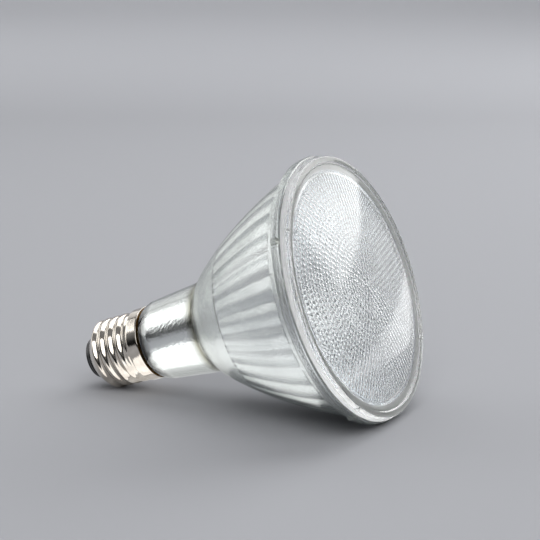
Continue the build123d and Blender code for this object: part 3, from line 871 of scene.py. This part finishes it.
class REFLECTORLAMP_OT_cap_shell(bpy.types.Operator):
    """Rolls the threaded shell of the screw cap"""

    bl_idname = "reflector_lamp.cap_shell"
    bl_label = "Cap Shell"

    def execute(self, context):
        angles = round_the_axis(216)
        # Rows stand close over the thread and far apart up the straight collar.
        lip_foot, lip_high, row_step, straight_from = COLLAR_EDGE - 0.1, 0.1, 0.2, 24.6
        threaded = np.arange(SHELL_END, COLLAR_START + 0.5, row_step)
        out = joined(threaded, np.linspace(straight_from, lip_foot, 8))[:, None]
        outside = shell_radius(out, angles)
        slope = np.gradient(outside, out[:, 0], axis=0)
        inside = outside - SHEET * np.sqrt(1 + slope**2)
        lip_turn = np.radians([40.0, 90.0, 140.0])[:, None]
        lip_r = COLLAR_R - SHEET / 2 + SHEET / 2 * np.cos(lip_turn)
        rings = list(place(out, outside, angles))
        rings += list(place(lip_foot + lip_high * np.sin(lip_turn), lip_r, angles))
        rings += list(place(out[::-1], inside[::-1], angles))
        shell = skin(rings, closed=True)
        piece = build("cap_shell", [shell], [nickel_plate("NickelPlate", "#E6E0D6")], sharp=50.0)
        fit_on(piece, "screw_shell")
        return {"FINISHED"}


class REFLECTORLAMP_OT_cap_end(bpy.types.Operator):
    """Casts the black glass in the end of the cap, and presses the contact on it"""

    bl_idname = "reflector_lamp.cap_end"
    bl_label = "Insulator and Contact"

    def execute(self, context):
        # The end cone slopes at 45 degrees, so its sheet is this much wider across.
        slant = 1.414
        inner_end_r = SHELL_END_R - SHEET * slant
        top = CONE_TOP - 0.2
        # From the wire's hole over the contact's seat and the round shoulder into the shell.
        glass_outline = joined(
            [(WIRE_HOLE_R, CONTACT_SEAT + 0.3), (WIRE_HOLE_R + 0.3, CONTACT_SEAT)],
            straight((CONTACT_R + 0.1, CONTACT_SEAT), (CONTACT_SEAT_R - 0.3, CONTACT_SEAT), 2),
            [(CONTACT_SEAT_R - 0.1, CONTACT_SEAT + 0.08), (6.3, 1.42)],
            quarter((7.1, 2.2), 0.6, -65, 0, 6),
            [(7.75, 2.6), (7.95, 2.85), (8.15, 3.1), (8.25, 3.65)],
            [(inner_end_r, SHELL_END), (inner_end_r + top - SHELL_END, top), (WIRE_HOLE_R, top)],
        )
        black = speckled("BlackCapGlass", "#040404", "#0D0C0C", 1.2, 0.16)
        insulator = build("cap_glass", [skin(turned(glass_outline, 144), closed=True)], [black])
        fit_on(insulator, "cap_insulator")
        dome_r = np.linspace(CONTACT_FLAT_R, CONTACT_R - 0.15, 9)
        swell = ((dome_r - CONTACT_FLAT_R) / (CONTACT_R - CONTACT_FLAT_R)) ** 1.8
        neck_top = CONTACT_SEAT + 1.4
        # From the solder on the tip over the swelled rim and into the insulator's hole.
        eyelet_outline = joined(
            [(0.0, 0.12), (LIVE_R + 0.5, 0.08), (LIVE_R + 0.8, 0.0)],
            np.column_stack((dome_r, swell * (CONTACT_SEAT - 0.25))),
            quarter((CONTACT_R - 0.2, CONTACT_SEAT - 0.2), 0.2, -40, 90, 5),
            [(WIRE_HOLE_R, CONTACT_SEAT), (WIRE_HOLE_R, neck_top), (LIVE_R, neck_top)],
            [(LIVE_R, CONTACT_SEAT - 0.5), (0.0, CONTACT_SEAT - 0.5)],
        )
        tin = speckled("TinnedBrass", "#C9C2B4", "#A79F90", 0.8, 0.3, 1.0)
        eyelet = build("contact_eyelet", [skin(turned(eyelet_outline, 96))], [tin])
        fit_on(eyelet, "centre_contact")
        return {"FINISHED"}


# The works' finishes: name, two colours, the grain's size and the roughness. Then how
# metallic it is and where the grain reaches the second colour, if not as usual.
WORKS = {
    "lens_seal": ("Silicone", "#C9CCC8", "#B2B6B1", 0.6, 0.45),
    "cap_cement": ("CapCement", "#A3772F", "#6E4A1E", 0.9, 0.7, 0.0, 0.7),
    "heat_sink": ("BlackAnodisedAluminium", "#232427", "#17181A", 0.7, 0.4),
    "sink_bond": ("Adhesive", "#4A4A4A", "#3C3C3C", 0.8, 0.6),
    "thermal_pad": ("ThermalPad", "#8C9196", "#777C82", 0.4, 0.7),
    "led_board": ("BlackSolderMask", "#1E1F22", "#141517", 1.5, 0.35),
    "led_chips": ("Phosphor", "#E9D36A", "#DCC04E", 0.5, 0.4),
    "board_screws": ("ZincedSteel", "#BFC1C2", "#A8AAAC", 0.5, 0.35, 1.0),
    "insulating_sleeve": ("SleevePlastic", "#1C1814", "#12100D", 0.9, 0.4),
    "driver_board": ("GlassEpoxy", "#2F6B3C", "#275A32", 0.8, 0.4),
    "film_capacitor": ("BoxedFilm", "#C9A13C", "#B88F2D", 0.8, 0.45),
    "bridge_rectifier": ("MouldedEpoxy", "#1C1C1E", "#28282A", 0.4, 0.5),
    "driver_chip": ("MouldedEpoxySmall", "#1A1A1C", "#252527", 0.3, 0.45),
    "bulk_capacitor": ("CanSleeve", "#15161C", "#1F212A", 1.1, 0.3),
    "output_capacitor": ("CanSleeveSmall", "#181C26", "#222836", 1.1, 0.3),
    "input_choke": ("Ferrite", "#3B3A3A", "#2C2B2B", 0.4, 0.65),
    "fusible_resistor": ("ResistorLacquer", "#9CB6C4", "#8AA6B6", 0.6, 0.4),
    "transformer_core": ("FerriteCore", "#383737", "#2A2929", 0.5, 0.6),
    "transformer_coil": ("CoilTape", "#E0BE3A", "#CFAA28", 1.3, 0.35),
    "live_lead": ("LiveInsulation", "#6B3A22", "#5C301B", 0.7, 0.4),
    "neutral_lead": ("NeutralInsulation", "#2C5C9A", "#244E86", 0.7, 0.4),
    "shell_solder": ("Solder", "#B9BBBB", "#A2A4A5", 0.4, 0.3, 1.0),
    "led_positive_lead": ("RedInsulation", "#A8281F", "#942118", 0.7, 0.4),
    "led_negative_lead": ("BlackInsulation", "#1B1B1C", "#262627", 0.7, 0.4),
    "led_solder": ("BoardSolder", "#BDBFBF", "#A6A8A9", 0.4, 0.28, 1.0),
}


class REFLECTORLAMP_OT_works(bpy.types.Operator):
    """Gives each piece of the works inside its own finish"""

    bl_idname = "reflector_lamp.works"
    bl_label = "Works Inside"

    def execute(self, context):
        for node, finish in WORKS.items():
            material = speckled(*finish)
            piece = frame["nodes"][node]
            for number in range(len(piece.data.materials)):
                piece.data.materials[number] = material
        return {"FINISHED"}


# The camera, fitted to the photograph's ellipses. The rim's middle is CAMERA_FAR ahead of
# it, CAMERA_SIDE to its right and CAMERA_UP above its axis, in metres.
CAMERA_TURN, CAMERA_TILT = math.radians(25.739), math.radians(12.168)
CAMERA_FAR, CAMERA_SIDE, CAMERA_UP = 0.773272, 0.031427, -0.005583
FOCAL_PIXELS, FRAME_PIXELS = 2200.0, 540.0
LEVEL = math.cos(CAMERA_TILT)
BACK_X, BACK_Y = math.sin(CAMERA_TURN) * LEVEL, -math.cos(CAMERA_TURN) * LEVEL
BACK = np.array([BACK_X, BACK_Y, math.sin(CAMERA_TILT)])
AHEAD = -BACK
RIGHT = np.cross(AHEAD, (0.0, 0.0, 1.0))
RIGHT /= np.linalg.norm(RIGHT)
ABOVE = np.cross(RIGHT, AHEAD)

# The softboxes are set out round this point, halfway up the lamp.
LAMP_MIDDLE = np.array([0.0, 0.0, 0.045])


def from_camera(parts):
    """A direction of length one, from its parts to the camera's right, straight up, and
    level towards the camera."""
    side = np.array([RIGHT[0], RIGHT[1], 0.0])
    near = np.array([BACK[0], BACK[1], 0.0])
    up = np.array([0.0, 0.0, 1.0])
    direction = parts[0] * side + parts[1] * up + parts[2] * near / np.linalg.norm(near)
    return direction / np.linalg.norm(direction)


def area_light(name, width, length, level, spot, turn):
    """A rectangular light that the camera doesn't see. Its power is level times its area
    times pi, so level is how bright its face is."""
    light = bpy.data.lights.new(name, "AREA")
    light.shape = "RECTANGLE"
    light.size = width
    light.size_y = length
    light.energy = level * width * length * math.pi
    holder = bpy.data.objects.new(name, light)
    holder.location = spot
    holder.rotation_euler = turn
    holder.visible_camera = False
    bpy.context.scene.collection.objects.link(holder)


def softbox(name, towards, distance, width, height, level, facing=None):
    """A square-edged softbox in a direction from the lamp's middle, as parts to the
    camera's right, up, and towards the camera. It faces the lamp, or the direction in
    facing."""
    direction = from_camera(towards)
    looks = -direction if facing is None else from_camera(facing)
    turn = mathutils.Vector(-looks).to_track_quat("Z", "Y").to_euler()
    area_light(name, width, height, level, LAMP_MIDDLE + direction * distance, turn)


def flat_card(name, middle, length, width, level):
    """A white card that lies close over the paper and shines up at the lamp, with its
    sides along X and Y."""
    area_light(name, length, width, level, middle, (math.pi, 0.0, 0.0))


def pale_room(name, level):
    """The room: a pale ceiling over walls that are dark low down, where the brightness
    rises with the height of the way that a ray goes."""
    room = bpy.data.worlds.new(name)
    room.use_nodes = True
    room.node_tree.nodes.clear()
    way = add(room, "TexCoord").outputs["Generated"]
    height = add(room, "SeparateXYZ", {"Vector": way}).outputs["Z"]
    brightness = eased(room, height, 0.14, 0.46, level * 0.05, level)
    values = {"Color": colour("#F4F6FA"), "Strength": brightness}
    walls = add(room, "Background", values).outputs["Background"]
    add(room, "OutputWorld", {"Surface": walls})
    return room


class REFLECTORLAMP_OT_studio(bpy.types.Operator):
    """Sets up the paper sweep, the softboxes and the camera"""

    bl_idname = "reflector_lamp.studio"
    bl_label = "Studio"

    def execute(self, context):
        studio = context.scene.reflector_lamp_stage
        # The sweep: flat paper, a quarter bend behind the lamp, and a wall.
        near_end, flat_end, bend, wall, half_width = -2.2, 1.5, 0.7, 1.4, 2.05
        turn = np.linspace(0, np.pi / 2, 24)
        far = joined([near_end, 0.0], flat_end + bend * np.sin(turn), [flat_end + bend])
        high = joined([0.0, 0.0], bend * (1 - np.cos(turn)), [bend + wall])
        wide = np.linspace(-half_width, half_width, 9)
        away = np.array([-math.sin(CAMERA_TURN), math.cos(CAMERA_TURN), 0.0])
        side = np.array([math.cos(CAMERA_TURN), math.sin(CAMERA_TURN), 0.0])
        grid = far[:, None, None] * away + wide[None, :, None] * side
        grid = grid + high[:, None, None] * np.array([0.0, 0.0, 1.0])
        rows, columns = grid.shape[:2]
        number = np.arange(rows * columns).reshape(rows, columns)
        faces = np.stack(
            (number[:-1, :-1], number[:-1, 1:], number[1:, 1:], number[1:, :-1]), axis=-1
        ).reshape(-1, 4)
        mesh = bpy.data.meshes.new("paper_sweep")
        mesh.from_pydata(grid.reshape(-1, 3).tolist(), [], faces.tolist())
        mesh.materials.append(studio_paper("StudioPaper", studio.paper))
        mesh.polygons.foreach_set("use_smooth", np.ones(len(faces), dtype=bool))
        sweep = bpy.data.objects.new("paper_sweep", mesh)
        context.scene.collection.objects.link(sweep)

        level = studio.softbox_level
        softbox("softbox_top", (0.0, 1.0, -0.5), 1.3, 1.3, 1.0, level * 0.75)
        softbox("softbox_left", (-0.92, 0.27, -0.29), 1.2, 0.9, 0.95, level * 0.62)
        softbox("softbox_front", (0.15, 0.7, 0.69), 1.25, 1.2, 1.0, level * 1.15)
        softbox("softbox_back", (0.6, 0.5, -0.6), 1.1, 0.95, 0.85, level)
        softbox("softbox_dim", (-0.5, 0.3, -0.81), 1.3, 0.53, 0.8, level * 0.24)
        softbox("backdrop_wash", (0, 1.1, -0.9), 1.42, 2.4, 0.8, level * 1.8, (0, -0.15, -1))
        low = studio.card_level
        flat_card("low_card", (-0.026, -0.027, 0.004), 0.036, 0.038, low)
        flat_card("under_card", (-0.026, 0.002, 0.0035), 0.036, 0.019, low * 0.35)
        flat_card("cone_card", (0.016, -0.0475, 0.004), 0.048, 0.055, low * 0.7)
        flat_card("lens_card", (0.33, 0.37, 0.01), 0.5, 0.5, low)

        context.scene.world = pale_room("PaleRoom", studio.room_level)

        camera = bpy.data.cameras.new("camera")
        camera.sensor_width = 36.0
        camera.lens = FOCAL_PIXELS / FRAME_PIXELS * camera.sensor_width
        camera.clip_start = 0.05
        camera.clip_end = 20.0
        eye = bpy.data.objects.new("camera", camera)
        rim_centre = TIP + RIM_FRONT * MM * ALONG
        spot = rim_centre - (RIGHT * CAMERA_SIDE + ABOVE * CAMERA_UP + AHEAD * CAMERA_FAR)
        turn_matrix = mathutils.Matrix((RIGHT, ABOVE, BACK)).transposed()
        eye.matrix_world = mathutils.Matrix.Translation(spot) @ turn_matrix.to_4x4()
        context.scene.collection.objects.link(eye)
        context.scene.camera = eye
        context.scene.view_settings.view_transform = "Standard"
        # Light that enters by the lens meets silver and glass many times on its way out.
        context.scene.cycles.max_bounces = 32
        context.scene.cycles.glossy_bounces = 20
        context.scene.cycles.transmission_bounces = 24
        return {"FINISHED"}


class REFLECTORLAMP_PT_panel(bpy.types.Panel):
    """Lists the steps that build the lamp, with their sizes and colours"""

    bl_idname = "REFLECTORLAMP_PT_panel"
    bl_label = "Reflector Lamp"
    bl_space_type = "VIEW_3D"
    bl_region_type = "UI"
    bl_category = "Lamp"

    def draw(self, context):
        layout = self.layout
        for step in STEPS:
            layout.operator(step.bl_idname, text=step.bl_label)
        for group in (context.scene.reflector_lamp_glass, context.scene.reflector_lamp_stage):
            box = layout.box()
            for name in group.__annotations__:
                box.prop(group, name)


GROUPS = (ReflectorLampGlass, ReflectorLampStage)
STEPS = (
    REFLECTORLAMP_OT_studio,
    REFLECTORLAMP_OT_body,
    REFLECTORLAMP_OT_lens,
    REFLECTORLAMP_OT_cap_shell,
    REFLECTORLAMP_OT_cap_end,
    REFLECTORLAMP_OT_works,
)


def register():
    for item in (*GROUPS, *STEPS, REFLECTORLAMP_PT_panel):
        bpy.utils.register_class(item)
    bpy.types.Scene.reflector_lamp_glass = bpy.props.PointerProperty(type=ReflectorLampGlass)
    bpy.types.Scene.reflector_lamp_stage = bpy.props.PointerProperty(type=ReflectorLampStage)


def unregister():
    del bpy.types.Scene.reflector_lamp_stage
    del bpy.types.Scene.reflector_lamp_glass
    for item in reversed((*GROUPS, *STEPS, REFLECTORLAMP_PT_panel)):
        bpy.utils.unregister_class(item)


def main():
    register()
    bpy.ops.reflector_lamp.studio()
    bpy.ops.reflector_lamp.body()
    bpy.ops.reflector_lamp.lens()
    bpy.ops.reflector_lamp.cap_shell()
    bpy.ops.reflector_lamp.cap_end()
    bpy.ops.reflector_lamp.works()


if __name__ == "__main__":
    main()
